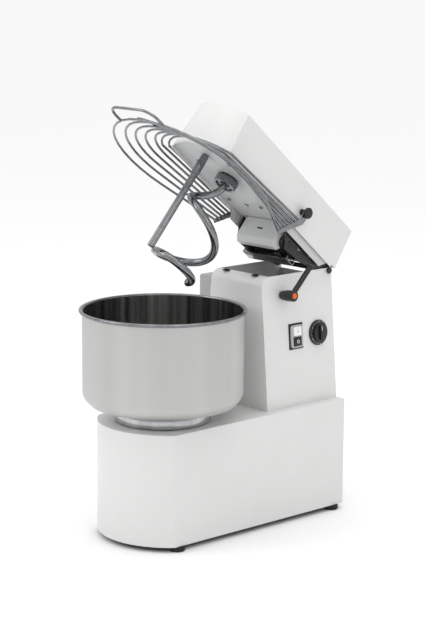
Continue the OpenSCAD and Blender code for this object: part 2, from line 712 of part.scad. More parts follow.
// The handle springs from the outermost wire and turns back to it in two round corners.
handle_root = wire_rr[0] - sqrt(pow(wire_rr[0], 2) - pow(handle_x, 2));
handle_side = [for (a = [0 : 15 : 90]) [handle_x - handle_bend + handle_bend * cos(a),
    handle_bend - handle_out - handle_bend * sin(a), 0]];
handle_path = concat([[handle_x, handle_root, 0]], handle_side,
    [for (k = [len(handle_side) - 1 : -1 : 0]) [-handle_side[k][0], handle_side[k][1], 0]],
    [[-handle_x, handle_root, 0]]);

module guard_handle() color(steel) raised() translate([0, front_y[0], front_z[0]]) swept(handle_path, 4, 12);

base_cover();
base_plate();
rubber_feet();
column_shell();
back_panel();
electrical_box();
inner_tray();
contactor();
cable_gland();
cover_screws();
hinge_pin();
head_buffers();
bowl_motor();
bowl_reducer();
bowl_drive_sprocket();
bowl_chain();
bearing_housing();
turntable_bearings();
turntable_shaft();
turntable_sprocket();
turntable_disc();
mixing_bowl();
switch_bezel();
start_button();
stop_button();
timer_scale();
timer_body();
timer_knob();
clamp_stud();
clamp_lever();
clamp_button();
head_cover();
head_underplate();
head_bracket();
latch_bar();
mechanism_cover();
stop_channel();
channel_knobs();
rear_skirts();
hook_motor();
hook_reducer();
hook_drive_sprocket();
hook_chain();
hook_housing();
hook_bearings();
hook_shaft();
hook_sprocket();
tool_chuck();
spiral_hook();
breaker_bar();
breaker_collar();
guard_pivots();
guard_switch();
guard_wires();
guard_straps();
guard_handle();
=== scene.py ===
"""Looks of a spiral dough mixer with a raised head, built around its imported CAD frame."""

import json
import logging
import math
from abc import ABC, abstractmethod
from dataclasses import dataclass
from enum import Enum
from functools import lru_cache

import bmesh
import bpy
from mathutils import Matrix, Vector
from mathutils.bvhtree import BVHTree


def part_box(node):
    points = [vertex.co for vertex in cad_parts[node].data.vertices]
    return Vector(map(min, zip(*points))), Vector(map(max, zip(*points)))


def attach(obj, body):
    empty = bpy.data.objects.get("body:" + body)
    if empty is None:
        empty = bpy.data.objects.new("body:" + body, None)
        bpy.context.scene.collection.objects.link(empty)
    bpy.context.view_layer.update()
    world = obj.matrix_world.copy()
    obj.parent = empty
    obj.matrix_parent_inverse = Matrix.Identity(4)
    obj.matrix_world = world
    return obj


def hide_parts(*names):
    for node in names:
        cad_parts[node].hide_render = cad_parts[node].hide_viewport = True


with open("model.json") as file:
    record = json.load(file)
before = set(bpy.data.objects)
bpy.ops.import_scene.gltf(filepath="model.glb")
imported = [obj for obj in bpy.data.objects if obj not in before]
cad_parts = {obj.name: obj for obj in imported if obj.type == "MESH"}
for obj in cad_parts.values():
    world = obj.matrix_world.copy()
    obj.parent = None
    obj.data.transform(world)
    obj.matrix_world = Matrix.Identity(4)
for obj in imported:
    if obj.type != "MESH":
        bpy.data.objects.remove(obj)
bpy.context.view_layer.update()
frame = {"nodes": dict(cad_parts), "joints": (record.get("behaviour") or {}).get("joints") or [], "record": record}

MM = 0.001
Tree = bpy.types.NodeTree
Socket = bpy.types.NodeSocket
Work = bmesh.types.BMesh
LOG = logging.getLogger("mixer")
RECORD = frame["record"]
JOINTS = {joint["name"]: joint for joint in frame["joints"]}
BODY_OF = {node: body for body, nodes in RECORD["behaviour"]["bodies"].items() for node in nodes}
SLOT_OF = {part["node"]: part["material_slot"] for part in RECORD["subparts"]}


# ---------------------------------------------------------------- colour and nodes


def linear(code: str) -> tuple[float, float, float, float]:
    """Turns an sRGB hex colour to the linear values that a shader takes.

    Args:
        code: six hex digits, such as "EDEDEB".

    Returns:
        Linear red, green, blue and an alpha of one.
    """
    levels = [int(code[i : i + 2], 16) / 255 for i in (0, 2, 4)]
    red, green, blue = (v / 12.92 if v <= 0.04045 else ((v + 0.055) / 1.055) ** 2.4 for v in levels)
    return red, green, blue, 1.0


def add_node(tree: Tree, kind: str, sockets: dict | None = None, **settings: object) -> bpy.types.Node:
    """Adds one node with its settings, its constants and its links.

    Args:
        tree: the node tree it goes into.
        kind: the node's Blender type name.
        sockets: input name or index, with a constant or an output socket to link.
        settings: properties of the node itself.

    Returns:
        The new node.
    """
    node = tree.nodes.new(kind)
    for name, value in settings.items():
        setattr(node, name, value)
    for key, value in (sockets or {}).items():
        if isinstance(value, Socket):
            tree.links.new(value, node.inputs[key])
        else:
            node.inputs[key].default_value = value
    return node


def grain(tree: Tree, size_mm: float, detail: float = 3.0) -> Socket:
    """Noise on the object's own coordinates, with features of a real size.

    Args:
        tree: the node tree it goes into.
        size_mm: size of one feature in millimetres.
        detail: octaves of finer noise.

    Returns:
        The noise's value, from 0 to 1.
    """
    place = add_node(tree, "ShaderNodeTexCoord").outputs["Object"]
    noise = {"Vector": place, "Scale": 1 / (size_mm * MM), "Detail": detail}
    return add_node(tree, "ShaderNodeTexNoise", noise).outputs[0]


def from_axis(tree: Tree, centre: tuple) -> tuple[Socket, Socket]:
    """Position measured from an upright axis.

    Args:
        tree: the node tree it goes into.
        centre: X and Y of the axis in metres.

    Returns:
        The position from the axis, and the same with its height taken out.
    """
    place = add_node(tree, "ShaderNodeTexCoord").outputs["Object"]
    moved = {"Vector": place, "Location": (-centre[0], -centre[1], 0)}
    moved = add_node(tree, "ShaderNodeMapping", moved).outputs[0]
    flat = add_node(tree, "ShaderNodeVectorMath", {0: moved, 1: (1, 1, 0)}, operation="MULTIPLY").outputs[0]
    return moved, flat


def spun(tree: Tree, centre: tuple, size_mm: float) -> Socket:
    """Noise that runs in rings about an upright axis, as a lathe or a spinning tool leaves it.

    Args:
        tree: the node tree it goes into.
        centre: X and Y of the axis in metres.
        size_mm: distance between rings in millimetres.

    Returns:
        The noise's value, from 0 to 1.
    """
    moved, flat = from_axis(tree, centre)
    reach = add_node(tree, "ShaderNodeVectorMath", {0: flat}, operation="LENGTH").outputs["Value"]
    height = add_node(tree, "ShaderNodeSeparateXYZ", {0: moved}).outputs["Z"]
    rings = add_node(tree, "ShaderNodeCombineXYZ", {"X": reach, "Y": height}).outputs[0]
    noise = {"Vector": rings, "Scale": 1 / (size_mm * MM), "Detail": 2.0}
    return add_node(tree, "ShaderNodeTexNoise", noise).outputs[0]


def streaks(tree: Tree, centre: tuple, count: float) -> Socket:
    """Noise that changes with the angle about an upright axis, as reflections on a spun wall do.

    Args:
        tree: the node tree it goes into.
        centre: X and Y of the axis in metres.
        count: roughly how many streaks there are in a radian.

    Returns:
        The noise's value, from 0 to 1.
    """
    flat = from_axis(tree, centre)[1]
    way = add_node(tree, "ShaderNodeVectorMath", {0: flat}, operation="NORMALIZE").outputs[0]
    return add_node(tree, "ShaderNodeTexNoise", {"Vector": way, "Scale": count, "Detail": 2.0}).outputs[0]


def spread(tree: Tree, value: Socket, low: float, high: float) -> Socket:
    """Maps noise, which stays near the middle of its range, onto a range of values.

    Args:
        tree: the node tree it goes into.
        value: the noise.
        low: result for weak noise.
        high: result for strong noise.

    Returns:
        The mapped value.
    """
    ends = {"Value": value, "From Min": 0.3, "From Max": 0.7, "To Min": low, "To Max": high}
    return add_node(tree, "ShaderNodeMapRange", ends).outputs[0]


def tint(tree: Tree, value: Socket, first: str, second: str) -> Socket:
    """Mixes two colours by a value.

    Args:
        tree: the node tree it goes into.
        value: how much of the second colour shows.
        first: sRGB hex of the first colour.
        second: sRGB hex of the second colour.

    Returns:
        The mixed colour.
    """
    mix = add_node(tree, "ShaderNodeMix", data_type="RGBA")
    tree.links.new(value, mix.inputs[0])
    mix.inputs[6].default_value = linear(first)
    mix.inputs[7].default_value = linear(second)
    return mix.outputs[2]


# ---------------------------------------------------------------- finishes


@dataclass(frozen=True)
class Finish(ABC):
    """A real material and how its surface was made."""

    title: str
    colour: str
    shade_colour: str
    roughness: float

    @abstractmethod
    def shade(self, tree: Tree, shader: bpy.types.Node) -> None:
        """Sets the shader's sockets."""

    def relief(self, tree: Tree, shader: bpy.types.Node, height: Socket, depth_mm: float) -> None:
        """Gives the surface relief.

        Args:
            tree: the material's node tree.
            shader: the shader that takes the normal.
            height: the relief's pattern.
            depth_mm: its depth in millimetres.
        """
        sockets = {"Height": height, "Distance": depth_mm * MM, "Strength": 1.0}
        bump = add_node(tree, "ShaderNodeBump", sockets)
        tree.links.new(bump.outputs[0], shader.inputs["Normal"])


@lru_cache(maxsize=None)
def material_of(finish: Finish) -> bpy.types.Material:
    """Makes a finish's material once.

    Args:
        finish: what the material is.

    Returns:
        The material.
    """
    made = bpy.data.materials.new(finish.title)
    made.use_nodes = True
    tree = made.node_tree
    tree.nodes.clear()
    shader = add_node(tree, "ShaderNodeBsdfPrincipled")
    add_node(tree, "ShaderNodeOutputMaterial", {"Surface": shader.outputs[0]})
    finish.shade(tree, shader)
    made.diffuse_color = linear(finish.colour)
    return made


@dataclass(frozen=True)
class PowderCoat(Finish):
    """Polyester powder baked on steel: an even colour, a soft gloss and a faint orange peel."""

    peel_mm: float = 2.2

    def shade(self, tree: Tree, shader: bpy.types.Node) -> None:
        """Even colour with slow drift, and a fine peel in the gloss."""
        drift = grain(tree, 90, detail=1.0)
        tree.links.new(tint(tree, drift, self.colour, self.shade_colour), shader.inputs["Base Color"])
        rough = spread(tree, grain(tree, 35), self.roughness - 0.05, self.roughness + 0.05)
        tree.links.new(rough, shader.inputs["Roughness"])
        shader.inputs["IOR"].default_value = 1.5
        shader.inputs["Coat Weight"].default_value = 0.15
        shader.inputs["Coat Roughness"].default_value = 0.2
        self.relief(tree, shader, grain(tree, self.peel_mm), 0.03)


@dataclass(frozen=True)
class PolishedSteel(Finish):
    """Stainless bar drawn and polished: bright, with faint hairlines and hand marks."""

    def shade(self, tree: Tree, shader: bpy.types.Node) -> None:
        """Metal whose gloss drifts with handling."""
        marks = grain(tree, 14, detail=4.0)
        tree.links.new(tint(tree, marks, self.colour, self.shade_colour), shader.inputs["Base Color"])
        shader.inputs["Metallic"].default_value = 1.0
        rough = spread(tree, grain(tree, 5), self.roughness - 0.04, self.roughness + 0.07)
        tree.links.new(rough, shader.inputs["Roughness"])
        self.relief(tree, shader, grain(tree, 1.5), 0.008)


@dataclass(frozen=True)
class SpunSteel(Finish):
    """Stainless sheet spun on a lathe: rings of fine brushing, and painted reflection streaks of tone round the
    axis.
    """

    centre: tuple = (0.0, 0.0)
    ring_mm: float = 2.5
    reflection_streak_count: float = 3.0
    relief_mm: float = 0.004

    def shade(self, tree: Tree, shader: bpy.types.Node) -> None:
        """Metal with rings in its gloss and relief, and painted reflection streaks in its base colour. The rings
        are drawn coarser than the real 0.2 mm.
        """
        rings = spun(tree, self.centre, self.ring_mm)
        # The base colour runs from colour to shade_colour in streaks round the axis: painted reflections, not a
        # tone of the steel.
        reflection_share = spread(tree, streaks(tree, self.centre, self.reflection_streak_count), 0.0, 1.0)
        tree.links.new(tint(tree, reflection_share, self.colour, self.shade_colour), shader.inputs["Base Color"])
        shader.inputs["Metallic"].default_value = 1.0
        rough = spread(tree, rings, self.roughness - 0.03, self.roughness + 0.03)
        tree.links.new(rough, shader.inputs["Roughness"])
        self.relief(tree, shader, rings, self.relief_mm)


@dataclass(frozen=True)
class Moulded(Finish):
    """Injection moulded plastic or rubber: an even colour and the tool's fine texture."""

    texture_mm: float = 1.2
    depth_mm: float = 0.03

    def shade(self, tree: Tree, shader: bpy.types.Node) -> None:
        """Even colour, with a texture that breaks up the gloss."""
        tone = tint(tree, grain(tree, 25), self.colour, self.shade_colour)
        tree.links.new(tone, shader.inputs["Base Color"])
        rough = spread(tree, grain(tree, 8), self.roughness - 0.06, self.roughness + 0.06)
        tree.links.new(rough, shader.inputs["Roughness"])
        shader.inputs["IOR"].default_value = 1.49
        self.relief(tree, shader, grain(tree, self.texture_mm), self.depth_mm)


@dataclass(frozen=True)
class Machined(Finish):
    """Turned or cast steel with a film of oil: duller than polished bar, and uneven."""

    pit_mm: float = 3.0

    def shade(self, tree: Tree, shader: bpy.types.Node) -> None:
        """Metal with a mottled gloss."""
        tone = tint(tree, grain(tree, 12), self.colour, self.shade_colour)
        tree.links.new(tone, shader.inputs["Base Color"])
        shader.inputs["Metallic"].default_value = 0.9
        rough = spread(tree, grain(tree, 6), self.roughness - 0.1, self.roughness + 0.1)
        tree.links.new(rough, shader.inputs["Roughness"])
        self.relief(tree, shader, grain(tree, self.pit_mm), 0.06)


BOWL_LOW, BOWL_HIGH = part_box("mixing_bowl")
BOWL_CENTRE = ((BOWL_LOW.x + BOWL_HIGH.x) / 2, (BOWL_LOW.y + BOWL_HIGH.y) / 2)

WHITE_COAT = PowderCoat("white_powder_coat", "DADAD9", "D6D6D5", 0.4)
# A darker grey copy of the white coat for the underplate, mechanism cover, rear skirts and inner tray: painted
# shade for places that lie in shade under the head and in the column's top.
SHADE_GREY_COAT = PowderCoat("grey_coat_painted_shade", "C9CACA", "BDBEBF", 0.42)
BLACK_COAT = PowderCoat("black_powder_coat", "1C1C1E", "121214", 0.45)
POLISHED_BAR = PolishedSteel("polished_stainless_bar", "9A9C9E", "66686B", 0.16)
# Each spun steel's two colours are painted reflection streaks round the bowl's axis: faint on the outside and on
# the ring, strong inside the bowl, where DCDCDA and 2C2C2E paint bright and dark reflections.
BOWL_OUTSIDE = SpunSteel("spun_stainless_satin", "C3C3C2", "B8B8B7", 0.46, BOWL_CENTRE, 3.0, 2.0, 0.002)
BOWL_INSIDE = SpunSteel("spun_stainless_bright_painted_reflections", "DCDCDA", "2C2C2E", 0.24, BOWL_CENTRE, 4.0, 9.0, 0.003)
RING_STEEL = SpunSteel("turned_stainless_ring", "C4C5C6", "A5A7A9", 0.2, BOWL_CENTRE, 1.5)
DARK_STEEL = Machined("oiled_dark_steel", "4A4B4E", "2B2C2F", 0.35)
TURNED_STEEL = Machined("turned_steel", "8F9194", "6E7073", 0.32)
CAST_HOUSING = Machined("painted_casting", "5B6066", "484C52", 0.55)
BLACK_PLASTIC = Moulded("black_glass_filled_nylon", "19191B", "101012", 0.4)
GREY_PLASTIC = Moulded("grey_polycarbonate", "A9ABAC", "9C9E9F", 0.45)
SILVER_PLASTIC = Moulded("silver_abs", "B8BABC", "A6A8AA", 0.28)
WHITE_PLASTIC = Moulded("white_abs", "EFEFEC", "E6E6E2", 0.25)
ORANGE_PLASTIC = Moulded("orange_abs", "E0641C", "CC5412", 0.3)
WHITE_INK = Moulded("white_pad_print", "F2F2F2", "E8E8E8", 0.5, 0.8, 0.01)
BLACK_INK = Moulded("black_pad_print", "161616", "0E0E0E", 0.5, 0.8, 0.01)
BLACK_RUBBER = Moulded("black_rubber", "1A1A1A", "101010", 0.75, 1.5, 0.08)


# ---------------------------------------------------------------- places


class Space(Enum):
    """A set of local axes that pieces are drawn in."""

    ROOM = "room"
    LEVEL_HEAD = "level head"


def level_head() -> Matrix:
    """Turns a place on the level head to where the raised head has it."""
    tilt = JOINTS["head_tilt"]
    pivot = Matrix.Translation(Vector(tilt["pos_m"]))
    turn = Matrix.Rotation(-math.radians(tilt["range_deg"][0]), 4, Vector(tilt["axis"]))
    return pivot @ turn @ pivot.inverted()


PLACES = {Space.ROOM: Matrix.Identity(4), Space.LEVEL_HEAD: level_head()}


def panel(origin: Vector, normal: Vector) -> Matrix:
    """Axes on a side panel: local X down the panel, local Y to the back, local Z outwards.

    Args:
        origin: a point on the panel.
        normal: the panel's outward normal.

    Returns:
        The matrix from local to room axes.
    """
    out = normal.normalized()
    back = Vector((0, 1, 0))
    down = back.cross(out)
    return Matrix.Translation(origin) @ Matrix((down, back, out)).transposed().to_4x4()


# ---------------------------------------------------------------- shared building


WAYS = ((True, False), (True, True), (False, True), (False, False))
SLACK_MM = 0.4


def stray_mm(work: Work, shape: Work) -> float:
    """Greatest distance between two surfaces, sampled on every triangle of both.

    Args:
        work: the worked surface.
        shape: the surface that it has to follow.

    Returns:
        The distance in millimetres.
    """
    worst = 0.0
    for first, second in ((work, shape), (shape, work)):
        tree = BVHTree.FromBMesh(second)
        fine = first.copy()
        bmesh.ops.triangulate(fine, faces=fine.faces)
        spots = [v.co for v in fine.verts]
        spots += [f.calc_center_median() for f in fine.faces]
        spots += [(e.verts[0].co + e.verts[1].co) / 2 for e in fine.edges]
        worst = max([worst] + [tree.find_nearest(spot)[3] for spot in spots])
        fine.free()
    return worst / MM


def broken_edges(shape: Work, node: str, edge_mm: float) -> Work:
    """Breaks a shape's edges in the first way that is closed and stays on the shape.

    Args:
        shape: the sharp shape. It is freed when another one is returned.
        node: the CAD node's name.
        edge_mm: radius of the broken edges.

    Returns:
        The worked shape, or the sharp one where no way keeps the shape.
    """
    for merged, clamped in WAYS:
        work = shape.copy()
        if merged:
            bmesh.ops.dissolve_limit(work, angle_limit=math.radians(0.4), verts=work.verts, edges=work.edges)
        corners = [e for e in work.edges if e.is_manifold and e.calc_face_angle_signed() > math.radians(35)]
        bmesh.ops.bevel(work, geom=corners, offset=edge_mm * MM, segments=3, profile=0.5, affect="EDGES",
                        clamp_overlap=clamped, material=-1)
        closed = all(edge.is_manifold for edge in work.edges)
        stray = stray_mm(work, shape)
        if closed and stray < edge_mm + SLACK_MM:
            shape.free()
            return work
        LOG.info("%s: merged %s, clamped %s strays %.2f mm, closed %s", node, merged, clamped, stray, closed)
        work.free()
    LOG.warning("%s keeps its sharp edges", node)
    return shape


@dataclass
class SubAssembly(ABC):
    """A group of pieces that are made and dressed together."""

    @abstractmethod
    def build(self) -> None:
        """Makes every piece of the sub-assembly."""

    def finish_piece(self, mesh: bpy.types.Mesh, name: str, body: str, finish: Finish,
                     slot: str) -> bpy.types.Object:
        """Turns a mesh to a finished piece that rides on a body.

        Args:
            mesh: the piece's mesh, in place.
            name: the piece's name.
            body: the body that it rides on.
            finish: its material.
            slot: the record's material slot; not used.

        Returns:
            The piece.
        """
        stale = mesh.attributes.get("custom_normal")
        if stale:
            mesh.attributes.remove(stale)
        mesh.shade_smooth()
        mesh.set_sharp_from_angle(angle=math.radians(32))
        mesh.materials.clear()
        mesh.materials.append(material_of(finish))
        piece = bpy.data.objects.new(name, mesh)
        bpy.context.scene.collection.objects.link(piece)
        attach(piece, body)
        LOG.info("%s rides on %s in %s", name, body, finish.title)
        return piece

    def add(self, work: Work, name: str, body: str, finish: Finish, slot: str,
            place: Matrix) -> bpy.types.Object:
        """Puts a new piece in its place and finishes it.

        Args:
            work: the piece, in local axes.
            name: the piece's name.
            body: the body that it rides on.
            finish: its material.
            slot: the record's material slot.
            place: the matrix from local to room axes.

        Returns:
            The piece.
        """
        bmesh.ops.transform(work, matrix=place, verts=work.verts)
        bmesh.ops.remove_doubles(work, verts=work.verts, dist=1e-6)
        bmesh.ops.recalc_face_normals(work, faces=work.faces)
        mesh = bpy.data.meshes.new(name)
        work.to_mesh(mesh)
        work.free()
        return self.finish_piece(mesh, name, body, finish, slot)

    def refine(self, node: str, finish: Finish, edge_mm: float = 0.0) -> bpy.types.Object:
        """Replaces a CAD node by a copy with smooth shading and worked edges.

        Args:
            node: the CAD node.
            finish: its material.
            edge_mm: radius of its broken edges, or 0 for none.

        Returns:
            The piece.
        """
        work = bmesh.new()
        work.from_mesh(frame["nodes"][node].data)
        bmesh.ops.remove_doubles(work, verts=work.verts, dist=2e-6)
        if edge_mm:
            work = broken_edges(work, node, edge_mm)
        mesh = bpy.data.meshes.new(f"{node}_finished")
        work.to_mesh(mesh)
        work.free()
        piece = self.finish_piece(mesh, f"{node}_finished", BODY_OF[node], finish, SLOT_OF[node])
        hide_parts(node)
        return piece

    def dress(self, finish: Finish, *nodes: str) -> None:
        """Gives CAD nodes that keep their own shape a finish.

        Args:
            finish: the material.
            nodes: the CAD nodes.
        """
        for node in nodes:
            slots = frame["nodes"][node].data.materials
            slots.clear()
            slots.append(material_of(finish))
            LOG.info("%s is dressed in %s", node, finish.title)


def block(size: tuple, edge: float, place: Matrix | None = None, into: Work | None = None) -> Work:
    """A box with rounded edges, in millimetres.

    Args:
        size: its X, Y and Z.
        edge: radius of its edges.
        place: where it goes, with distances in metres.
        into: a mesh to add it to.

    Returns:
        The mesh that holds it.
    """
    work = into or bmesh.new()
    made = bmesh.ops.create_cube(work, size=1.0)["verts"]
    bmesh.ops.scale(work, vec=Vector(size) * MM, verts=made)
    edges = list({e for v in made for e in v.link_edges})
    rounded = bmesh.ops.bevel(work, geom=edges, offset=edge * MM, segments=3, profile=0.5, affect="EDGES",
                              clamp_overlap=True, material=-1)
    if place:
        corners = set(rounded["verts"]) | {v for v in made if v.is_valid}
        bmesh.ops.transform(work, matrix=place, verts=list(corners))
    return work


def turned(profile: list[tuple], rounds: dict[int, float], steps: int = 96, closed: bool = False) -> Work:
    """Spins a profile about local Z, in millimetres.

    Args:
        profile: radius and height of each corner, in order.
        rounds: index of a corner with the radius that it is rounded to.
        steps: segments round the axis.
        closed: True where the profile's ends join.

    Returns:
        The spun mesh.
    """
    work = bmesh.new()
    corners = [work.verts.new((r * MM, 0, z * MM)) for r, z in profile]
    for first, second in zip(corners, corners[1:] + (corners[:1] if closed else [])):
        work.edges.new((first, second))
    for index, radius in rounds.items():
        bmesh.ops.bevel(work, geom=[corners[index]], offset=radius * MM, segments=6, profile=0.5,
                        affect="VERTICES", clamp_overlap=True, material=-1)
    bmesh.ops.spin(work, geom=work.verts[:] + work.edges[:], cent=(0, 0, 0), axis=(0, 0, 1),
                   angle=math.tau, steps=steps, use_merge=True)
    bmesh.ops.remove_doubles(work, verts=work.verts, dist=1e-6)
    return work


def screw_head(radius: float, height: float, sides: int, place: Matrix, into: Work) -> None:
    """Adds a screw head that stands on its place along local Z, in millimetres.

    Args:
        radius: its radius across the corners.
        height: how far it stands out.
        sides: 6 for a hexagon, or more for a round head.
        place: where it goes, with distances in metres.
        into: the mesh that it is added to.
    """
    centre = Matrix.Translation((0, 0, height / 2 * MM))
    made = bmesh.ops.create_cone(into, cap_ends=True, segments=sides, radius1=radius * MM,
                                 radius2=radius * 0.86 * MM, depth=height * MM)["verts"]
    bmesh.ops.transform(into, matrix=place @ centre, verts=made)


# ---------------------------------------------------------------- sub-assemblies


@dataclass
class BaseUnit(SubAssembly):
    """The base box with its feet, its lower drive and its cable gland."""

    sheet_edge_mm: float = 1.6

    def build(self) -> None:
        """Refines what shows and dresses the drive inside."""
        self.refine("base_cover", WHITE_COAT, self.sheet_edge_mm)
        self.refine("base_plate", BLACK_COAT, 1.0)
        self.refine("rubber_feet", BLACK_RUBBER, 1.5)
        self.refine("cable_gland", BLACK_PLASTIC, 0.6)
        self.dress(CAST_HOUSING, "bowl_motor", "bowl_reducer", "bearing_housing")
        self.dress(TURNED_STEEL, "turntable_bearings", "turntable_shaft", "turntable_sprocket",
                   "bowl_drive_sprocket")
        self.dress(DARK_STEEL, "bowl_chain")


@dataclass
class ColumnUnit(SubAssembly):
    """The column with its back panel, electrical box and hinge pin."""

    louvre_mm: tuple = (50.0, 8.0, 4.0)
    rows: int = 11
    pitch_mm: float = 22.0

    def build(self) -> None:
        """Refines the sheet parts and adds the louvres' hoods."""
        self.refine("column_shell", WHITE_COAT, 1.2)
        self.refine("back_panel", WHITE_COAT, 0.6)
        self.refine("electrical_box", GREY_PLASTIC, 1.5)
        self.refine("hinge_pin", DARK_STEEL, 0.8)
        self.refine("head_buffers", BLACK_RUBBER)
        # The inner tray takes the grey coat: painted shade inside the column's top.
        self.refine("inner_tray", SHADE_GREY_COAT)
        self.refine("cover_screws", POLISHED_BAR)
        self.dress(GREY_PLASTIC, "contactor")
        self.hoods()

    def hoods(self) -> None:
        """Pressed hoods over the back panel's slots."""
        low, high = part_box("back_panel")
        work = bmesh.new()
        for row in range(self.rows):
            for side in (-1, 1):
                z = 0.409 + row * self.pitch_mm * MM
                place = Matrix.Translation((side * 0.038, high.y + 0.0008, z))
                block((self.louvre_mm[0], self.louvre_mm[2], self.louvre_mm[1]), 1.2, place, work)
        self.add(work, "louvre_hoods", "frame", WHITE_COAT, "white_paint", Matrix.Identity(4))


@dataclass
class BowlUnit(SubAssembly):
    """The spun bowl and the turntable under it."""

    foot_mm: float = 138.0
    knee_mm: tuple = (204.0, 20.0)
    shoulder_mm: float = 42.0
    bead_mm: float = 5.0
    sheet_mm: float = 2.0
    dog_mm: float = 11.0
    round_mm: float = 14.0
    steps: int = 128

    def build(self) -> None:
        """Spins the bowl, its rim and its drive dog, and refines the turntable."""
        centre = Matrix.Translation((*BOWL_CENTRE, BOWL_LOW.z))
        height = (BOWL_HIGH.z - BOWL_LOW.z) / MM
        wall = (BOWL_HIGH.x - BOWL_LOW.x) / 2 / MM - 2 * self.bead_mm + 0.3
        rim = height - self.bead_mm
        self.skin("bowl_outside", wall, rim, 0.0, BOWL_OUTSIDE, centre)
        self.skin("bowl_inside", wall, rim, self.sheet_mm, BOWL_INSIDE, centre)
        bead = turned([(wall + self.bead_mm * (1 - 0.06 + math.cos(a)), rim + self.bead_mm * math.sin(a))
                       for a in (math.tau * k / 16 for k in range(16))], {}, self.steps, True)
        self.add(bead, "bowl_rim", "bowl", POLISHED_BAR, "bowl_steel", centre)
        dog = turned([(0, 0), (56, 0), (56, self.dog_mm), (0, self.dog_mm)], {})
        block((150, 20, self.dog_mm), 0.5, Matrix.Translation((0, 0, self.dog_mm / 2 * MM)), dog)
        piece = self.add(dog, "bowl_drive_dog", "bowl", TURNED_STEEL, "bowl_steel", centre)
        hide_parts("mixing_bowl")
        self.refine("turntable_disc", RING_STEEL, 1.0)

    def skin(self, name: str, wall: float, rim: float, inset: float, finish: Finish, place: Matrix) -> None:
        """One face of the bowl's sheet as a thin closed skin.

        Args:
            name: the piece's name.
            wall: the bowl's outer radius.
            rim: height of the rim's middle above the lowest point.
            inset: how far inside the outer face it lies.
            finish: its material.
            place: the matrix from local to room axes.
        """
        base = self.dog_mm + inset
        reach = wall - inset
        half = self.sheet_mm / 2
        line = [(0, base), (self.foot_mm, base), (self.knee_mm[0] - inset / 3, base + self.knee_mm[1]),
                (reach, base + self.shoulder_mm), (reach, rim)]
        step = -half if inset else half
        back = [(r - step * (r > self.foot_mm), z + step * (z < rim)) for r, z in reversed(line)]
        work = turned(line + back, {3: self.round_mm, 6: self.round_mm}, self.steps)
        self.add(work, name, "bowl", finish, "bowl_steel", place)


@dataclass
class HeadUnit(SubAssembly):
    """The tilting head with its drive, its bracket and what hangs under it."""

    def build(self) -> None:
        """Refines the sheet parts, dresses the drive and adds the fasteners."""
        self.refine("head_cover", WHITE_COAT, 1.4)
        # The underplate, mechanism cover and rear skirts take the grey coat: painted shade under the head.
        self.refine("head_underplate", SHADE_GREY_COAT, 0.6)
        self.refine("mechanism_cover", SHADE_GREY_COAT, 1.2)
        self.refine("rear_skirts", SHADE_GREY_COAT, 0.5)
        self.refine("head_bracket", BLACK_COAT, 0.8)
        self.refine("latch_bar", DARK_STEEL, 1.0)
        self.refine("stop_channel", POLISHED_BAR, 0.4)
        self.refine("channel_knobs", BLACK_PLASTIC, 0.8)
        self.refine("guard_pivots", BLACK_PLASTIC, 1.0)
        self.refine("breaker_bar", POLISHED_BAR, 1.2)
        self.refine("breaker_collar", POLISHED_BAR, 0.6)
        self.dress(GREY_PLASTIC, "guard_switch")
        self.dress(CAST_HOUSING, "hook_motor", "hook_reducer", "hook_housing")
        self.dress(TURNED_STEEL, "hook_bearings", "hook_drive_sprocket", "hook_sprocket", "hook_shaft")
        self.dress(DARK_STEEL, "hook_chain")
        self.fasteners()

    def fasteners(self) -> None:
        """Screws under the head, bolts on the bracket and the mark on the cover."""
        head = PLACES[Space.LEVEL_HEAD]
        under = Matrix.Rotation(math.pi, 4, "X")
        screws = bmesh.new()
        for x, y in ((-62, -150), (62, -150), (-88, 40), (88, 40), (-30, 60), (30, 60)):
            screw_head(6.5, 3.0, 24, Matrix.Translation((x * MM, y * MM, 0.7229)) @ under, screws)
        self.add(screws, "underplate_screws", "head", POLISHED_BAR, "chrome", head)
        bolts = bmesh.new()
        for side in (-1, 1):
            out = Matrix.Rotation(side * math.pi / 2, 4, "Y")
            for y, z in ((150, 705), (205, 690), (255, 700), (300, 706)):
                screw_head(8, 1.1, 6, Matrix.Translation((side * 0.0989, y * MM, z * MM)) @ out, bolts)
        self.add(bolts, "bracket_bolts", "head", POLISHED_BAR, "chrome", head)
        mark = block((22, 1.2, 5), 0.5, Matrix.Translation((0, 0.1216, 0.690)))
        self.add(mark, "cover_slot_mark", "head", BLACK_INK, "black_steel", head)


@dataclass
class HookUnit(SubAssembly):
    """The chuck and the spiral hook."""

    def build(self) -> None:
        """Refines the chuck and the bar."""
        self.refine("tool_chuck", TURNED_STEEL, 1.0)
        self.refine("spiral_hook", POLISHED_BAR)


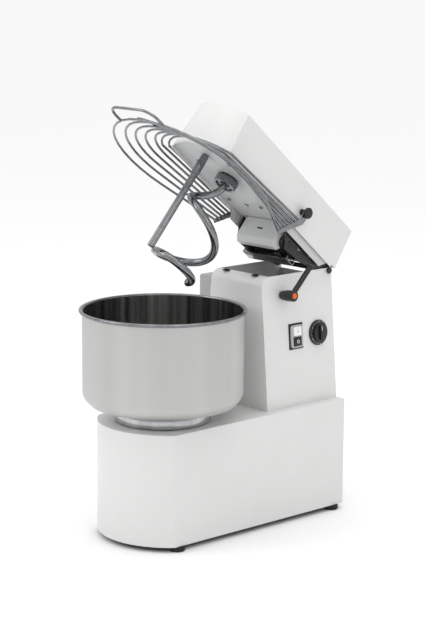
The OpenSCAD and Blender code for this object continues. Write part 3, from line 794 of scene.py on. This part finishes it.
@dataclass
class GuardUnit(SubAssembly):
    """The wire guard with its straps, its handle and the welds between them."""

    bead_mm: float = 4.6
    strap_low: tuple = (0.0, 0.074, 0.664)
    strap_high: tuple = (0.0, 0.129, 0.735)
    strap_x: float = 0.1302
    wires: int = 7

    def build(self) -> None:
        """Refines the wires and straps, and adds a weld bead where each wire meets a strap."""
        self.refine("guard_wires", POLISHED_BAR)
        self.refine("guard_handle", POLISHED_BAR)
        self.refine("guard_straps", POLISHED_BAR, 0.5)
        self.welds()

    def welds(self) -> None:
        """Beads at the ends of the wires, spaced evenly along each side strap."""
        work = bmesh.new()
        lower, upper = Vector(self.strap_low), Vector(self.strap_high)
        for side in (-1, 1):
            for k in range(self.wires):
                spot = lower.lerp(upper, k / (self.wires - 1))
                place = Matrix.Translation((side * self.strap_x, spot.y, spot.z))
                bead = bmesh.ops.create_icosphere(work, subdivisions=2, radius=self.bead_mm * MM)["verts"]
                bmesh.ops.scale(work, vec=(0.6, 1, 1), verts=bead)
                bmesh.ops.transform(work, matrix=place, verts=bead)
        self.add(work, "guard_welds", "guard", POLISHED_BAR, "chrome", PLACES[Space.LEVEL_HEAD])


@dataclass
class LeverUnit(SubAssembly):
    """The clamp lever on the column's side."""

    def build(self) -> None:
        """Refines the lever, its stud and its button."""
        self.refine("clamp_stud", POLISHED_BAR, 0.8)
        self.refine("clamp_lever", BLACK_PLASTIC)
        self.refine("clamp_button", ORANGE_PLASTIC, 0.8)


@dataclass
class SwitchUnit(SubAssembly):
    """The switch with its bezel, its surround and its two marked buttons."""

    surround_mm: tuple = (75.0, 56.0, 1.6)
    rim_mm: float = 6.0

    def build(self) -> None:
        """Refines the bezel and buttons and adds the surround and the marks."""
        self.refine("switch_bezel", SILVER_PLASTIC, 1.2)
        self.refine("start_button", WHITE_PLASTIC, 1.4)
        self.refine("stop_button", BLACK_PLASTIC, 1.4)
        out = -Vector(JOINTS["start_press"]["axis"])
        start, stop = self.face("start_button", out), self.face("stop_button", out)
        self.surround((start + stop) / 2 - out * 0.0103, out)
        dash = block((9, 1.8, 0.5), 0.2)
        self.add(dash, "start_mark", "start_button", BLACK_INK, "white_plastic", panel(start, out))
        ring = turned([(3.4, 0.0), (5.0, 0.0), (5.0, 0.4), (3.4, 0.4)], {}, 48, True)
        self.add(ring, "stop_mark", "stop_button", WHITE_INK, "black_plastic", panel(stop, out))

    def surround(self, middle: Vector, out: Vector) -> None:
        """A black gasket round the bezel, in four strips.

        Args:
            middle: the switch's middle on the panel.
            out: the panel's outward normal.
        """
        work = bmesh.new()
        long, wide, thick = self.surround_mm
        for side in (-1, 1):
            block((long, self.rim_mm, thick), 0.4,
                  Matrix.Translation((0, side * (wide - self.rim_mm) / 2 * MM, thick / 2 * MM)), work)
            block((self.rim_mm, wide - 2 * self.rim_mm, thick), 0.4,
                  Matrix.Translation((side * (long - self.rim_mm) / 2 * MM, 0, thick / 2 * MM)), work)
        self.add(work, "switch_gasket", "frame", BLACK_RUBBER, "rubber", panel(middle, out))

    def face(self, node: str, out: Vector) -> Vector:
        """Middle of a button's outer face.

        Args:
            node: the button's CAD node.
            out: the panel's outward normal.

        Returns:
            The point, in metres.
        """
        points = [v.co for v in frame["nodes"][node].data.vertices]
        top = max(p.dot(out) for p in points)
        rim = [p for p in points if p.dot(out) > top - 0.0002]
        return sum(rim, Vector()) / len(rim)


@dataclass
class TimerUnit(SubAssembly):
    """The timer's scale, its ticks and its knob."""

    ticks: int = 30
    tick_reach_mm: float = 33.0

    def build(self) -> None:
        """Refines the scale and knob and adds the ticks and the pointer."""
        self.refine("timer_scale", BLACK_PLASTIC, 0.8)
        self.refine("timer_knob", BLACK_PLASTIC, 0.8)
        self.dress(GREY_PLASTIC, "timer_body")
        turn = JOINTS["timer_turn"]
        out = Vector(turn["axis"])
        face = panel(Vector(turn["pos_m"]) - out * 0.0048, out)
        work = bmesh.new()
        for k in range(self.ticks):
            bold = k % 5 == 0
            spin = Matrix.Rotation(math.tau * k / self.ticks, 4, "Z")
            move = Matrix.Translation((self.tick_reach_mm * MM, 0, 0.0082))
            block((5.0 if bold else 3.0, 1.1 if bold else 0.7, 0.4), 0.1, spin @ move, work)
        self.add(work, "timer_ticks", "frame", WHITE_INK, "black_plastic", face)
        pointer = block((13, 1.6, 0.5), 0.2, Matrix.Translation((-0.013, 0, 0.0187)))
        self.add(pointer, "timer_pointer", "timer_knob", WHITE_INK, "black_plastic", face)


@dataclass
class Studio:
    """A plain pale floor, soft lights and the camera."""

    target: tuple = (0.0, -0.0207, 0.5958)
    azimuth_deg: float = 47.18
    elevation_deg: float = 11.27
    roll_deg: float = 0.39
    distance: float = 5.759
    lens_mm: float = 114.1
    lamps: tuple = (("key", (-2.6, -4.2, 3.4), 3.0, 55), ("fill", (4.4, -1.6, 2.6), 2.4, 14),
                    ("top", (0.3, 0.2, 4.6), 3.2, 40))

    def build(self) -> None:
        """Makes the floor, the world, the lights and the camera."""
        bpy.context.scene.view_settings.view_transform = "Standard"
        self.floor()
        self.world()
        for lamp in self.lamps:
            self.soft_light(*lamp)
        self.camera()

    def floor(self) -> None:
        """A wide pale floor."""
        work = bmesh.new()
        bmesh.ops.create_grid(work, x_segments=1, y_segments=1, size=90)
        mesh = bpy.data.meshes.new("floor")
        work.to_mesh(mesh)
        work.free()
        pale = Moulded("pale_floor", "F7F7F7", "F6F6F6", 0.8, 5.0, 0.0)
        mesh.materials.append(material_of(pale))
        floor = bpy.data.objects.new("floor", mesh)
        bpy.context.scene.collection.objects.link(floor)

    def world(self) -> None:
        """A soft white room that is darker low down, so that bright metal has something to show."""
        world = bpy.data.worlds.new("studio")
        bpy.context.scene.world = world
        world.use_nodes = True
        tree = world.node_tree
        tree.nodes.clear()
        way = add_node(tree, "ShaderNodeTexCoord").outputs["Generated"]
        height = add_node(tree, "ShaderNodeSeparateXYZ", {0: way}).outputs["Z"]
        ramp = add_node(tree, "ShaderNodeValToRGB", {0: height})
        ramp.color_ramp.elements[0].position = 0.0
        ramp.color_ramp.elements[0].color = (0.5, 0.5, 0.51, 1)
        ramp.color_ramp.elements[1].position = 0.45
        ramp.color_ramp.elements[1].color = (1, 1, 1, 1)
        sky = add_node(tree, "ShaderNodeBackground", {"Color": ramp.outputs[0], "Strength": 1.05})
        add_node(tree, "ShaderNodeOutputWorld", {"Surface": sky.outputs[0]})

    def soft_light(self, name: str, place: tuple, size: float, watts: float) -> None:
        """Adds a square area light that faces the machine.

        Args:
            name: the light's name.
            place: where it stands, in metres.
            size: its side, in metres.
            watts: its power.
        """
        lamp = bpy.data.lights.new(name, "AREA")
        lamp.size = size
        lamp.energy = watts
        light = bpy.data.objects.new(name, lamp)
        light.location = place
        light.rotation_euler = (Vector(self.target) - Vector(place)).to_track_quat("-Z", "Y").to_euler()
        bpy.context.scene.collection.objects.link(light)

    def camera(self) -> None:
        """The camera, in front on the operator's side and a little above the bowl."""
        turn, rise = math.radians(self.azimuth_deg), math.radians(self.elevation_deg)
        way = Vector((math.sin(turn) * math.cos(rise), -math.cos(turn) * math.cos(rise), math.sin(rise)))
        view = bpy.data.cameras.new("camera")
        view.lens = self.lens_mm
        view.sensor_width = 36.0
        view.clip_end = 400
        camera = bpy.data.objects.new("camera", view)
        camera.location = Vector(self.target) + way * self.distance
        look = (-way).to_track_quat("-Z", "Y").to_matrix().to_4x4()
        camera.rotation_euler = (look @ Matrix.Rotation(math.radians(self.roll_deg), 4, "Z")).to_euler()
        bpy.context.scene.collection.objects.link(camera)
        bpy.context.scene.camera = camera


def main() -> None:
    """Builds the machine, then the room."""
    logging.basicConfig(level=logging.INFO, format="%(message)s")
    units = (BaseUnit(), ColumnUnit(), BowlUnit(), HeadUnit(), HookUnit(), GuardUnit(), LeverUnit(),
             SwitchUnit(), TimerUnit())
    for unit in units:
        unit.build()
    Studio().build()


if __name__ == "__main__":
    main()
